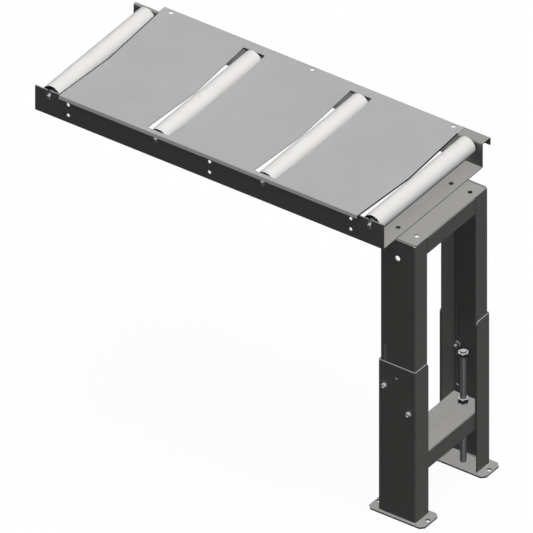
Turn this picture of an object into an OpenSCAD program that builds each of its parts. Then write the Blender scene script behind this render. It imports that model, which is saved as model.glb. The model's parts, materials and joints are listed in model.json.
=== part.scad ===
// Roller table that feeds bar stock to a machine: four rollers between two rails,
// with a folded drip cover under them. The far end of the bed stands on two
// telescopic legs. The origin is on the floor, at the centre of the four anchor
// holes. +X runs along the bed towards the stand, and +Y to the rear rail.

/* [Bed] */
// Length of both rails
bed_length = 1000; // [700:10:1600]
// Width over the webs of both rails
bed_width = 408; // [360:1:560]
// Height of both rails
rail_height = 70; // [66:1:110]
// Sheet thickness of the rails and end plates
rail_wall = 3; // [2:0.5:4]
// Width of the rear rail's flange at the stand end
flange_width = 35; // [26:1:50]
// Depth of that flange's turned-down lip
flange_lip = 22; // [12:1:40]
// Reach of the wide flange under the cover's end
flange_overlap = 12; // [8:1:30]
// Width of the narrow flange along the rest of the rear rail
ledge_width = 8.5; // [7:0.5:12]
// Outer radius of the rear rail's folds
rail_bend = 4.5; // [4.2:0.1:6]
// Length of the plate that ties the rails together at the stand
stand_plate_length = 100; // [50:1:160]
// Length of the plate that ties them together at the machine
machine_plate_length = 46; // [44:1:160]
// Distance of the outer rail holes from the rail's ends
rail_hole_inset = 95; // [75:1:140]
// Diameter of the front rail's holes
rail_hole = 9; // [6:0.5:12]
// Height of the lower row of rail holes
rail_hole_height = 21; // [12:1:24]
// Distance between the two rows of rail holes
rail_hole_pitch = 30; // [20:1:38]

/* [Cover plate] */
// Sheet thickness of the cover
cover_wall = 2; // [1:0.5:3]
// Depth of the cover's drip valley
valley_depth = 14; // [6:1:24]
// Gap between an end roller and the cover
cover_gap = 3.5; // [2:0.5:10]
// Gap between an inner roller and the slot it stands in
slot_gap = 5; // [3:0.5:12]
// Width of cover left in front of each slot
slot_land = 9; // [5:0.5:9]
// Reach of the cover's flat past the front rail, up to its front lip
cover_nose = 3; // [2:0.5:6]
// Drop of the cover's front lip
cover_lip = 7; // [5:0.5:8]
// Outward reach of the cover's front lip
cover_lip_reach = 3; // [2:0.5:6]
// Distance from the cover's rear edge to the flange's edge
cover_rear_gap = 6; // [3:0.5:8]
// Diameter of the holes along the cover's rear edge
cover_hole = 10.5; // [6:0.5:12]
// Distance of those holes from the rear rail's outer face
cover_hole_offset = 15; // [13:0.5:17]

/* [Rollers] */
// Diameter of a roller
roller_d = 50; // [40:1:54]
// Wall of a roller tube
roller_wall = 2; // [1:0.5:3]
// Distance of the end rollers' axes from the ends of the bed
roller_inset = 40.5; // [36:0.5:60]
// Height of the rollers' axes over the bed's underside
roller_height = 52; // [48:0.5:56]
// Gap from the front rail's inner face to a roller tube
roller_front_gap = 7; // [6.5:0.5:10]
// Gap from a roller tube to the rear rail's inner face
roller_rear_gap = 5; // [3:0.5:10]
// Diameter of an axle
axle_d = 12; // [10:0.5:14]
// Distance across the flats of an axle's ends
axle_flats = 8; // [6:0.5:9]
// Length of axle that shows in front of the front rail
axle_stub = 5; // [3:0.5:8]
// Depth of the plastic cup in each end of a roller
cup_depth = 18; // [15:0.5:24]
// Depth from the tube's end to the cup's face
cup_recess = 2.5; // [1:0.5:4]
// Wall of a cup
cup_wall = 2.5; // [1.5:0.5:3]
// Outer diameter of a roller bearing
bearing_d = 28; // [26:1:30]
// Width of a roller bearing
bearing_width = 8; // [6:0.5:9]

/* [Stand] */
// Height of the stand's head at the middle of its travel
stand_height = 797; // [770:1:900]
// Length of the head across the bed
head_length = 300; // [280:1:380]
// Width of the head and the legs along the bed
head_width = 100; // [90:1:120]
// Sheet thickness of the head, legs, sleeves and beam
stand_wall = 3; // [2:0.5:4]
// Outer radius of their folds
stand_bend = 5; // [4.2:0.1:6]
// Depth of the head's side flanges
head_skirt = 48; // [30:1:50]
// Distance between the head's holes along the bed
head_hole_pitch = 54; // [44:1:60]
// Distance between the head's holes across the bed
head_hole_span = 218; // [190:1:224]
// Diameter of the holes that bolt the beds to the head
head_hole = 12; // [8:0.5:13]
// Gap between this bed and the next one on the same head
bed_gap = 10; // [4:1:14]
// Distance of the rails' middle behind the middle of the stand
bed_shift = 4; // [0:0.5:8]
// Weld groove between the head and the web and flanges of a leg
head_groove = 2; // [1:0.5:4]
// Length of a leg
leg_length = 675; // [660:1:680]
// Depth of a leg's flanges
leg_depth = 50; // [40:1:54]
// Diameter of the hole near the top of each leg
leg_hole = 14; // [8:0.5:16]
// Distance of that hole below the top of the leg
leg_hole_drop = 49; // [30:1:70]
// Height of a sleeve
sleeve_height = 431; // [420:1:480]
// Depth of a sleeve's flanges
sleeve_depth = 54; // [48:0.5:58]
// Gap all round between a leg and its sleeve
sleeve_gap = 0.5; // [0.3:0.1:1]
// Radius of the sleeve's upper free corners
sleeve_corner = 10; // [4:1:16]
// Diameter of the sleeve's upper hole
sleeve_hole = 9.5; // [6:0.5:12]
// Distance of that hole below the top of the sleeve
sleeve_hole_drop = 33; // [20:1:40]
// Thickness of a foot plate
foot_wall = 5; // [4:0.5:8]
// Length of a foot plate along the bed
foot_length = 160; // [150:1:220]
// Reach of a foot plate past its sleeve
foot_reach = 8; // [4:1:14]
// Cut across each corner of a foot plate
foot_corner = 10; // [4:1:10]
// Diameter of an anchor hole
anchor_hole = 12; // [8:0.5:13]
// Distance of the anchor holes from a foot plate's ends
anchor_inset = 10; // [9:0.5:12]

/* [Height adjustment] */
// Travel of the head up or down from the middle
travel = 110; // [60:1:110]
// Distance between a side's two clamp bolts along the bed
clamp_pitch = 70; // [56:1:74]
// Distance of the middle of the clamp bolts below the top of the sleeve
clamp_drop = 96; // [86:1:98]
// Height of one clamp bolt over the other
clamp_stagger = 56; // [20:1:56]
// Diameter of a clamp bolt
clamp_d = 8; // [6:1:8]
// Diameter of a clamp bolt's round head
clamp_head_d = 13; // [12:0.5:14]
// Width across the flats of a clamp bolt's nut
clamp_flats = 13; // [12:1:15]
// Length of a clamp bolt under its head
clamp_length = 20; // [17:1:24]
// Width of a leg's clamp slots
leg_slot = 9; // [8.6:0.1:11]
// Spare length of a clamp slot at each end of the travel
leg_slot_spare = 3.5; // [1:0.5:4]
// Diameter of a jack screw
jack_d = 16; // [12:1:16]
// Length of a jack screw under its head
jack_length = 305; // [300:1:330]
// Width across the flats of a jack screw's head and nut
jack_flats = 24; // [22:1:26]
// Length of a jack screw that shows over its head
jack_end = 3; // [2:0.5:5]
// Distance from a leg's outer face to its jack screw
jack_inset = 30; // [26:1:34]
// Depth of the jack beam's side flanges
beam_skirt = 50; // [30:1:52]
// Height of the beam's lower edges over the legs' lower ends
beam_rise = 7; // [4:1:10]

/* [Hidden] */
// Every circle and turned piece
$fn = 64;
// Running clearance of a shaft, and clearance of a pressed ring
fit_gap = 0.05;
// Clearance of an axle's flats in the rails
axle_gap = 0.2;
// Clearance of a bolt in its hole
bolt_gap = 0.25;
// Gap that lets a leg slide past the clamp washers
slide_gap = 0.2;
// Gap between an axle's shoulder and the rail
shoulder_gap = 0.3;
// Clearance of a jack screw in the beam
jack_gap = 0.75;
// How far a cut runs past the face that it opens
cut = 1;

// The nodes name four rollers
roller_count = 4;
roller_r = roller_d / 2;
roller_pitch = (bed_length - 2 * roller_inset) / (roller_count - 1);
function roller_x(k) = roller_inset + k * roller_pitch;
roller_y = rail_wall + roller_front_gap;
roller_length = bed_width - 2 * rail_wall - roller_front_gap - roller_rear_gap;

// Rails
rear_web = bed_width - rail_wall;
rail_holes_x = [rail_hole_inset, bed_length / 2, bed_length - rail_hole_inset];
axle_slot = axle_flats + 2 * axle_gap;

// Cover plate
cover_start = roller_inset + roller_r + cover_gap;
cover_length = bed_length - 2 * cover_start;
cover_hole_y = bed_width + cover_hole_offset;
slot_width = roller_d + 2 * slot_gap;
// The lip is turned down by this angle from the flat
lip_turn = atan(cover_lip / cover_lip_reach);

// Roller ends
cup_d = roller_d - 2 * roller_wall - 2 * fit_gap;
cup_flange = 3;
cup_shoulder = 2;
cup_rim_inset = 0.5;
bearing_race = 2.5;
bearing_shield_inset = 0.5;
inner_ring_wall = 2.5;
inner_ring_d = axle_d + 2 * (fit_gap + inner_ring_wall);
axle_chamfer = 1;
// Length of axle behind the rear rail
axle_tail = 3;
axle_total = axle_stub + bed_width + axle_tail;

// Stand
leg_face = head_length / 2;
leg_top = stand_height - stand_wall;
leg_foot = leg_top - leg_length;
sleeve_width = head_width + 2 * (stand_wall + sleeve_gap);
sleeve_face = leg_face + stand_wall + sleeve_gap;
foot_depth = sleeve_depth + 2 * foot_reach + 1;
foot_face = sleeve_face + foot_reach;
anchor_x = foot_length / 2 - anchor_inset;
anchor_y = foot_face - foot_depth / 2;
bed_end = -bed_gap / 2;
end_hole_inset = (head_hole_pitch - bed_gap) / 2;
stand_middle = bed_width / 2 - bed_shift;

// Clamps: each washer lies inside the leg, with the nut on it
clamp_washer_d = 2 * clamp_d;
clamp_washer_wall = 0.2 * clamp_d;
clamp_head = clamp_d;
clamp_socket = 0.75 * clamp_d;
clamp_socket_depth = clamp_d / 2;
clamp_nut = 0.8 * clamp_d;
clamp_washer_y = -leg_face + stand_wall + slide_gap;
leg_slot_length = 2 * (travel + leg_slot_spare) + leg_slot;
clamp_middle = foot_wall + sleeve_height - clamp_drop;
// Place of each clamp bolt of the front side, along X and up
clamp_places = [
    [-clamp_pitch / 2, clamp_middle + clamp_stagger / 2],
    [clamp_pitch / 2, clamp_middle - clamp_stagger / 2]
];

// Jacks
jack_y = leg_face - jack_inset;
jack_head = 0.625 * jack_d;
jack_nut = 0.8 * jack_d;
jack_tip = 2;
beam_width = head_width - 2 * stand_wall;
// The beam stops short of the folds inside the legs
beam_length = head_length - 2 * stand_bend;
beam_top = leg_foot + beam_rise + beam_skirt;

// Places the bed, drawn from the underside of the front rail's machine end
module at_bed() {
    translate([bed_end - bed_length, -stand_middle, stand_height]) children();
}

// Places what roller k carries, turned so that its own Z runs to the rear
module at_roller(k, y = 0) {
    at_bed() translate([roller_x(k), y, roller_height]) rotate([-90, 0, 0]) children();
}

// The stand's rear side is its front side turned half round
module at_rear() {
    rotate([0, 0, 180]) children();
}

// Points a piece's own Z to the rear, as for bolts through a front web
module facing_rear() {
    rotate([-90, 0, 0]) children();
}

// Rectangle on the X axis whose two lower corners are rounded
module folded_back(width, depth, radius) {
    translate([-width / 2, radius]) square([width, depth - radius]);
    translate([radius - width / 2, 0]) square([width - 2 * radius, depth]);
    for (side = [-1, 1]) {
        translate([side * (width / 2 - radius), radius]) circle(r = radius);
    }
}

// Folded channel with its web on the X axis and its flanges along +Y
module channel_outline(width, depth, wall, bend) {
    difference() {
        folded_back(width, depth, bend);
        translate([0, wall]) folded_back(width - 2 * wall, depth, bend - wall);
    }
}

// Channel that lies along Y with its web on top, centred on the origin
module lying_channel(width, depth, wall, bend, length) {
    rotate([90, 0, 0]) translate([0, 0, -length / 2]) linear_extrude(length) mirror([0, 1])
        channel_outline(width, depth, wall, bend);
}

// Hexagon with its upper corners turned away, as on a bolt head or a nut
module hexagon(flats, height) {
    corner_r = flats / 2 / cos(30);
    face_r = 0.95 * flats / 2;
    intersection() {
        cylinder(r = corner_r, h = height, $fn = 6);
        rotate_extrude() polygon([
            [0, 0],
            [corner_r + cut, 0],
            [corner_r + cut, height - (corner_r + cut - face_r) * tan(30)],
            [face_r, height],
            [0, height]
        ]);
    }
}

// Turned bar with both ends chamfered
module turned_bar(diameter, length, lower_chamfer, upper_chamfer) {
    r = diameter / 2;
    rotate_extrude() polygon([
        [0, 0],
        [r - lower_chamfer, 0],
        [r, lower_chamfer],
        [r, length - upper_chamfer],
        [r - upper_chamfer, length],
        [0, length]
    ]);
}

module ring(outer_d, inner_d, height) {
    difference() {
        cylinder(d = outer_d, h = height);
        translate([0, 0, -cut]) cylinder(d = inner_d, h = height + 2 * cut);
    }
}

// Front rail: a flat bar with open slots that the axles drop into
module front_rail() {
    color("dimgray") at_bed() difference() {
        cube([bed_length, rail_wall, rail_height]);
        for (k = [0 : roller_count - 1]) {
            translate([roller_x(k) - axle_slot / 2, -cut, roller_height - axle_d / 2 - axle_gap])
                cube([axle_slot, rail_wall + 2 * cut, rail_height]);
        }
        for (x = rail_holes_x, row = [0, 1]) {
            translate([x, -cut, rail_hole_height + row * rail_hole_pitch]) facing_rear()
                cylinder(d = rail_hole, h = rail_wall + 2 * cut);
        }
    }
}

// Section of the rear rail: a channel with one flange cut short to a lip
module rear_rail_outline() {
    difference() {
        translate([flange_width / 2, rail_height]) mirror([0, 1])
            channel_outline(flange_width, rail_height, rail_wall, rail_bend);
        translate([flange_width / 2, -cut])
            square([flange_width / 2 + cut, rail_height - flange_lip + cut]);
    }
}

// Opening with two flats that holds an axle's rear end
module axle_window() {
    intersection() {
        circle(d = axle_d + 2 * axle_gap);
        square([axle_slot, 2 * axle_d], center = true);
    }
}

// Rear rail: its top flange carries the cover, and is wide at the stand end only
module rear_rail() {
    color("dimgray") at_bed() difference() {
        translate([bed_length, rear_web, 0]) rotate([90, 0, -90]) mirror([1, 0])
            linear_extrude(bed_length) rear_rail_outline();
        translate([-cut, rear_web + ledge_width, -cut])
            cube([bed_length - cover_start - flange_overlap + cut, flange_width,
                  rail_height + 2 * cut]);
        for (k = [0 : roller_count - 1]) {
            translate([roller_x(k), rear_web - cut, roller_height]) facing_rear()
                linear_extrude(rail_wall + 2 * cut) axle_window();
        }
    }
}

// Plate that ties the rails together, with two bolt holes near the bed's end
module end_plate(length) {
    difference() {
        translate([0, rail_wall, 0]) cube([length, bed_width - 2 * rail_wall, rail_wall]);
        for (side = [-1, 1]) {
            translate([end_hole_inset, stand_middle + side * head_hole_span / 2, -cut])
                cylinder(d = head_hole, h = rail_wall + 2 * cut);
        }
    }
}

module machine_end_plate() {
    color("gray") at_bed() end_plate(machine_plate_length);
}

module stand_end_plate() {
    color("gray") at_bed() translate([bed_length, 0, 0]) mirror([1, 0, 0])
        end_plate(stand_plate_length);
}

// Section of the cover, from its front lip over the valley to the rear flange
module cover_outline() {
    valley_y = bed_width / 2;
    rear_edge = rear_web + flange_width - cover_rear_gap;
    lip_edge = cover_nose + cover_lip_reach;
    fold = cover_wall * tan(lip_turn / 2);
    lip_out = cover_wall * sin(lip_turn);
    lip_up = cover_wall * cos(lip_turn);
    polygon([
        [-lip_edge, -cover_lip],
        [-lip_edge - lip_out, lip_up - cover_lip],
        [-cover_nose - fold, cover_wall],
        [rail_wall, cover_wall],
        [valley_y, cover_wall - valley_depth],
        [rear_web, cover_wall],
        [rear_edge, cover_wall],
        [rear_edge, 0],
        [rear_web, 0],
        [valley_y, -valley_depth],
        [rail_wall, 0],
        [-cover_nose, 0]
    ]);
}

// Cover: one folded sheet between the end rollers, slotted for the inner ones
module cover_plate() {
    color("darkgray") at_bed() difference() {
        translate([cover_start + cover_length, 0, rail_height]) rotate([90, 0, -90])
            mirror([1, 0]) linear_extrude(cover_length) cover_outline();
        for (k = [1 : roller_count - 2]) {
            translate([roller_x(k) - slot_width / 2, slot_land, rail_height - valley_depth - cut])
                cube([slot_width, rear_web - slot_land, valley_depth + cover_wall + 2 * cut]);
        }
        for (x = rail_holes_x) {
            translate([x, cover_hole_y, rail_height - cut])
                cylinder(d = cover_hole, h = cover_wall + 2 * cut);
        }
    }
}

module roller_tube(k) {
    color("gainsboro") at_roller(k, roller_y)
        ring(roller_d, roller_d - 2 * roller_wall, roller_length);
}

// Section of an end cup, from the axis out and from the tube's end inwards
module end_cup_outline() {
    seat_r = bearing_d / 2 + fit_gap;
    seat_end = cup_recess + bearing_width + fit_gap;
    difference() {
        translate([inner_ring_d / 2 + cup_shoulder, cup_rim_inset])
            square([cup_d / 2 - inner_ring_d / 2 - cup_shoulder, cup_depth - cup_rim_inset]);
        translate([0, -cut]) square([cup_d / 2 - cup_wall, cup_recess + cut]);
        translate([0, cup_recess - cut]) square([seat_r, bearing_width + fit_gap + cut]);
        translate([seat_r + cup_wall, cup_recess + cup_flange])
            square([cup_d / 2 - 2 * cup_wall - seat_r, cup_depth]);
        translate([0, seat_end + cup_shoulder]) square([seat_r + cup_wall + cut, cup_depth]);
    }
}

// Plastic cup at both ends of a roller, each with a seat for its bearing
module roller_end_cups(k) {
    color("black") at_roller(k, roller_y) {
        rotate_extrude() end_cup_outline();
        translate([0, 0, roller_length]) mirror([0, 0, 1]) rotate_extrude() end_cup_outline();
    }
}

// Outer race of a bearing, with the shields that close it on both sides
module outer_race() {
    rotate_extrude() difference() {
        translate([inner_ring_d / 2 + fit_gap, 0])
            square([(bearing_d - inner_ring_d) / 2 - fit_gap, bearing_width]);
        for (y = [-cut, bearing_width - bearing_shield_inset]) {
            translate([0, y])
                square([bearing_d / 2 - bearing_race, cut + bearing_shield_inset]);
        }
    }
}

module roller_bearings(k) {
    color("silver") at_roller(k, roller_y) {
        translate([0, 0, cup_recess]) outer_race();
        translate([0, 0, roller_length - cup_recess - bearing_width]) outer_race();
    }
}

// Inner rings of all the bearings: they stay still with their axles
module bearing_inner_rings() {
    color("silver") for (k = [0 : roller_count - 1]) {
        at_roller(k, roller_y) {
            translate([0, 0, cup_recess])
                ring(inner_ring_d, axle_d + 2 * fit_gap, bearing_width);
            translate([0, 0, roller_length - cup_recess - bearing_width])
                ring(inner_ring_d, axle_d + 2 * fit_gap, bearing_width);
        }
    }
}

// Axle: a round bar whose ends are flattened where they sit in the rails
module roller_axle(k) {
    front_flat = axle_stub + rail_wall + shoulder_gap;
    rear_flat = rail_wall + axle_tail + shoulder_gap;
    color("lightgray") at_roller(k, -axle_stub) difference() {
        turned_bar(axle_d, axle_total, axle_chamfer, axle_chamfer);
        for (side = [-1, 1]) {
            translate([side * (axle_flats + axle_d) / 2, 0, front_flat / 2 - cut])
                cube([axle_d, 2 * axle_d, front_flat + 2 * cut], center = true);
            translate([side * (axle_flats + axle_d) / 2, 0, axle_total - rear_flat / 2 + cut])
                cube([axle_d, 2 * axle_d, rear_flat + 2 * cut], center = true);
        }
    }
}

// Head of the stand: flat on the legs' flanges, and flanged down between the legs
module stand_head() {
    seat_end = leg_face - stand_wall - head_groove;
    seat_start = leg_face - leg_depth - head_groove;
    color("dimgray") difference() {
        union() {
            translate([0, 0, stand_height])
                lying_channel(head_width, head_skirt, stand_wall, stand_bend, 2 * seat_start);
            for (side = [-1, 1]) {
                translate([-head_width / 2,
                           side * (seat_start + seat_end) / 2 - (seat_end - seat_start) / 2, leg_top])
                    cube([head_width, seat_end - seat_start, stand_wall]);
            }
        }
        for (x = [-1, 1], y = [-1, 1]) {
            translate([x * head_hole_pitch / 2, y * head_hole_span / 2, leg_top - cut])
                cylinder(d = head_hole, h = stand_wall + 2 * cut);
        }
    }
}

// Upright slot through a front web, with round ends
module upright_slot(width, length, depth) {
    straight = length - width;
    facing_rear() {
        for (end = [-1, 1]) {
            translate([0, end * straight / 2, 0]) cylinder(d = width, h = depth);
        }
        translate([-width / 2, -straight / 2, 0]) cube([width, straight, depth]);
    }
}

// Inner leg: a channel with its web outside, slotted for the clamp bolts. The web
// rises in front of the head, up to its top.
module inner_leg() {
    web_width = head_width - 2 * stand_bend;
    difference() {
        union() {
            translate([0, -leg_face, leg_foot]) linear_extrude(leg_length)
                channel_outline(head_width, leg_depth, stand_wall, stand_bend);
            translate([-web_width / 2, -leg_face, leg_foot])
                cube([web_width, stand_wall, leg_length + stand_wall]);
        }
        for (place = clamp_places) {
            translate([place[0], -leg_face - cut, place[1]])
                upright_slot(leg_slot, leg_slot_length, stand_wall + 2 * cut);
        }
        translate([0, -leg_face - cut, leg_top - leg_hole_drop]) facing_rear()
            cylinder(d = leg_hole, h = stand_wall + 2 * cut);
    }
}

module inner_leg_front() {
    color("dimgray") inner_leg();
}

module inner_leg_rear() {
    color("dimgray") at_rear() inner_leg();
}

// Beam between the lower ends of the legs, which the jack screws lift
module jack_beam() {
    color("dimgray") translate([0, 0, beam_top]) difference() {
        lying_channel(beam_width, beam_skirt, stand_wall, stand_bend, beam_length);
        for (side = [-1, 1]) {
            translate([0, side * jack_y, -stand_wall - cut])
                cylinder(d = jack_d + 2 * jack_gap, h = stand_wall + 2 * cut);
        }
    }
}

// Nut welded on the beam, which the jack screw turns in
module jack_nut_piece() {
    translate([0, -jack_y, beam_top]) difference() {
        hexagon(jack_flats, jack_nut);
        translate([0, 0, -cut]) cylinder(d = jack_d + 2 * fit_gap, h = jack_nut + 2 * cut);
    }
}

module jack_nut_front() {
    color("silver") jack_nut_piece();
}

module jack_nut_rear() {
    color("silver") at_rear() jack_nut_piece();
}

// Jack screw: its tip stands on the foot plate, and the nut welded on near its upper
// end is its head
module jack_screw() {
    translate([0, -jack_y, foot_wall]) {
        turned_bar(jack_d, jack_length + jack_head + jack_end, jack_tip, jack_tip);
        translate([0, 0, jack_length]) hexagon(jack_flats, jack_head);
    }
}

module jack_screw_front() {
    color("silver") jack_screw();
}

module jack_screw_rear() {
    color("silver") at_rear() jack_screw();
}

// Rounds off the upper free corners of both of a sleeve's flanges at once
module sleeve_corners() {
    translate([-sleeve_width / 2 - cut, sleeve_depth - sleeve_face - sleeve_corner,
               foot_wall + sleeve_height - sleeve_corner])
        rotate([90, 0, 90]) linear_extrude(sleeve_width + 2 * cut) difference() {
            square(sleeve_corner + cut);
            circle(r = sleeve_corner);
        }
}

// Sleeve: the fixed channel that a leg slides in, welded to its foot plate
module sleeve() {
    difference() {
        translate([0, -sleeve_face, foot_wall]) linear_extrude(sleeve_height)
            channel_outline(sleeve_width, sleeve_depth, stand_wall, stand_bend);
        sleeve_corners();
        for (place = clamp_places) {
            translate([place[0], -sleeve_face - cut, place[1]]) facing_rear()
                cylinder(d = clamp_d + 2 * bolt_gap, h = stand_wall + 2 * cut);
        }
        translate([0, -sleeve_face - cut, foot_wall + sleeve_height - sleeve_hole_drop])
            facing_rear() cylinder(d = sleeve_hole, h = stand_wall + 2 * cut);
    }
}

module sleeve_front() {
    color("dimgray") sleeve();
}

module sleeve_rear() {
    color("dimgray") at_rear() sleeve();
}

// Foot plate with cut corners and an anchor hole at each end
module foot_plate() {
    x = foot_length / 2;
    y = foot_depth / 2;
    c = foot_corner;
    translate([0, -anchor_y, 0]) difference() {
        linear_extrude(foot_wall) polygon([
            [c - x, -y], [x - c, -y], [x, c - y], [x, y - c],
            [x - c, y], [c - x, y], [-x, y - c], [-x, c - y]
        ]);
        for (side = [-1, 1]) {
            translate([side * anchor_x, 0, -cut])
                cylinder(d = anchor_hole, h = foot_wall + 2 * cut);
        }
    }
}

module foot_plate_front() {
    color("dimgray") foot_plate();
}

module foot_plate_rear() {
    color("dimgray") at_rear() foot_plate();
}

// Places one of a side's clamp pieces at each bolt, with its Z to the rear
module at_clamps(y) {
    for (place = clamp_places) {
        translate([place[0], y, place[1]]) facing_rear() children();
    }
}

// Round head with a hexagon socket outside the sleeve, with its shank through sleeve
// and leg
module clamp_bolt() {
    mirror([0, 0, 1]) difference() {
        turned_bar(clamp_head_d, clamp_head, 0, axle_chamfer / 2);
        translate([0, 0, clamp_head - clamp_socket_depth])
            cylinder(r = clamp_socket / 2 / cos(30), h = clamp_socket_depth + cut, $fn = 6);
    }
    turned_bar(clamp_d, clamp_length, 0, axle_chamfer);
}

module clamp_bolts_front() {
    color("silver") at_clamps(-sleeve_face) clamp_bolt();
}

module clamp_bolts_rear() {
    color("silver") at_rear() at_clamps(-sleeve_face) clamp_bolt();
}

module clamp_washer() {
    ring(clamp_washer_d, clamp_d + 2 * bolt_gap, clamp_washer_wall);
}

module clamp_washers_front() {
    color("silver") at_clamps(clamp_washer_y) clamp_washer();
}

module clamp_washers_rear() {
    color("silver") at_rear() at_clamps(clamp_washer_y) clamp_washer();
}

module clamp_nut_piece() {
    difference() {
        hexagon(clamp_flats, clamp_nut);
        translate([0, 0, -cut]) cylinder(d = clamp_d + 2 * fit_gap, h = clamp_nut + 2 * cut);
    }
}

module clamp_nuts_front() {
    color("silver") at_clamps(clamp_washer_y + clamp_washer_wall) clamp_nut_piece();
}

module clamp_nuts_rear() {
    color("silver") at_rear() at_clamps(clamp_washer_y + clamp_washer_wall) clamp_nut_piece();
}

front_rail();
rear_rail();
machine_end_plate();
stand_end_plate();
cover_plate();
roller_tube(0);  // roller_1_tube
roller_tube(1);  // roller_2_tube
roller_tube(2);  // roller_3_tube
roller_tube(3);  // roller_4_tube
roller_end_cups(0);  // roller_1_end_cups
roller_end_cups(1);  // roller_2_end_cups
roller_end_cups(2);  // roller_3_end_cups
roller_end_cups(3);  // roller_4_end_cups
roller_bearings(0);  // roller_1_bearings
roller_bearings(1);  // roller_2_bearings
roller_bearings(2);  // roller_3_bearings
roller_bearings(3);  // roller_4_bearings
roller_axle(0);  // roller_1_axle
roller_axle(1);  // roller_2_axle
roller_axle(2);  // roller_3_axle
roller_axle(3);  // roller_4_axle
bearing_inner_rings();
stand_head();
inner_leg_front();
inner_leg_rear();
jack_beam();
jack_nut_front();
jack_nut_rear();
jack_screw_front();
jack_screw_rear();
sleeve_front();
sleeve_rear();
foot_plate_front();
foot_plate_rear();
clamp_bolts_front();
clamp_bolts_rear();
clamp_washers_front();
clamp_washers_rear();
clamp_nuts_front();
clamp_nuts_rear();
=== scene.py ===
"""Roller table: the looks of every surface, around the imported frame."""
import json
import math

import bmesh
import bpy
from mathutils import Matrix, Vector


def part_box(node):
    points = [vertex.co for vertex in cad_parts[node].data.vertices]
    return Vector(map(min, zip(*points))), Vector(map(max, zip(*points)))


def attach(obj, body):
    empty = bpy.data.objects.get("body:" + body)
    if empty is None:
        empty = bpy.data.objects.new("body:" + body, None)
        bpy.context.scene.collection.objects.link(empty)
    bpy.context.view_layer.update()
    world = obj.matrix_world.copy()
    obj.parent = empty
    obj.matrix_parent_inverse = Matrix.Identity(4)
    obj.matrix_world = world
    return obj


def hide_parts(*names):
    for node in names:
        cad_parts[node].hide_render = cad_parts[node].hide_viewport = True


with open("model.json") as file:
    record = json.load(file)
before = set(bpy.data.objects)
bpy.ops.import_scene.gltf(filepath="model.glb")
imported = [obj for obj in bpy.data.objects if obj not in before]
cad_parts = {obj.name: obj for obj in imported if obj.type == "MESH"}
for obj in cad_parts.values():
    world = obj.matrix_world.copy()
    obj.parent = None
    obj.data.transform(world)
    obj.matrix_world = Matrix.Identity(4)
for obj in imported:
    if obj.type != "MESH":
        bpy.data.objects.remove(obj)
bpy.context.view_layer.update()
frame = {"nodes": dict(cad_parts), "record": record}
nodes = frame["nodes"]
slot_of_node = {s["node"]: s["material_slot"] for s in frame["record"]["subparts"]}

MM = 0.001
SIDES = ("front", "rear")
ROLLERS = (1, 2, 3, 4)
UP = Vector((0, 0, 1))

# Camera: a parallel view from above the stand's front corner
VIEW_AZIMUTH = math.radians(34.9)
VIEW_ELEVATION = math.radians(35.26)
VIEW_WIDTH = 1253.5 * MM
VIEW_TARGET = Vector((-480.5, 0, 440.4)) * MM
VIEW_DISTANCE = 4.0

# Light: most of it comes from above, and the rollers get it from a little to the right. A weak
# lamp lights the front, and a strip lamp under the cover lights the rear rail. The key, roller
# and front lamps cast no shadow, and the soft lamp does
KEY_STRENGTH = 2.74
KEY_LEAN = math.radians(6)
KEY_SPREAD = math.radians(4)
ROLLER_KEY_STRENGTH = 3.0
ROLLER_KEY_LEAN = math.radians(21.5)
ROLLER_KEY_SPREAD = math.radians(8)
SOFT_STRENGTH = 0.30
SOFT_SPREAD = math.radians(50)
FRONT_STRENGTH = 0.085
FRONT_PITCH = math.radians(90)
STRIP_X = (-850 * MM, -75 * MM)
STRIP_Y = 150 * MM
STRIP_Z = 845 * MM
STRIP_HEIGHT = 20 * MM
STRIP_WATTS = 0.15
SKY_STRENGTH = 0.022

# Floor: what it reflects where it is seen, with a glow for the rest of white, what it gives
# back to the light that falls on the table, and its side in metres
FLOOR_SEEN_ALBEDO = 0.30
FLOOR_ALBEDO = 0.03
FLOOR_SIZE = 30.0

# Greys, and the tints that they get as shares of red, green and blue
FRAME_GREY = 0.335
COVER_GREY = 0.44
# DARK_GREY paints the cover's shadow on the rear rail, and darkens the cover's cut faces and end margins
DARK_GREY = 0.02
TUBE_GREY = 0.86
PLASTIC_GREY = 0.012
BEARING_GREY = 0.5
ZINC_GREY = 0.56
# The next grey is zinc with painted shade, for threads and the sides of hexagons
SHADE_ZINC_GREY = 0.07
NEUTRAL = (1.0, 1.0, 1.0)
WARM_PAINT = (1.010, 0.993, 0.966)
WARM_STEEL = (1.007, 0.993, 0.979)

# Noise in every surface, and where it reaches the darkest and the lightest grey
NOISE_DETAIL = 4.0
NOISE_ROUGHNESS = 0.6
NOISE_LOW, NOISE_HIGH = 0.3, 0.7

# Paint: share of its grey that it gives back to bounced light, soft clouds, and orange peel
PASSED_ON = 0.3
PAINT_CLOUDS = 9.0
PAINT_VARIES = 0.03
PAINT_ROUGHNESS = 0.6
PAINT_ROUGHNESS_SPAN = 0.05
PAINT_SPECULAR = 0.09
PEEL_SCALE = 520.0
PEEL_DETAIL = 2.0
PEEL_STRENGTH = 0.12
PEEL_DEPTH = 0.4 * MM

# Metal: fine marks, drawn out along the axis whose factor is small
STEEL_VARIES = 0.05
STEEL_ROUGHNESS_SPAN = 0.06
MARK_STRENGTH = 0.08
MARK_DEPTH = 0.2 * MM
ALONG_TUBE = (1, 0.02, 1)
ALONG_BEARING = (1, 0.05, 1)
ALONG_SCREW = (1, 1, 0.2)

# Plastic: grain of the mould
GRAIN_SCALE = 900.0
GRAIN_VARIES = 0.15
GRAIN_STRENGTH = 0.15
GRAIN_DEPTH = 0.2 * MM
PLASTIC_ROUGHNESS = 0.6
PLASTIC_SPECULAR = 0.2
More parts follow.
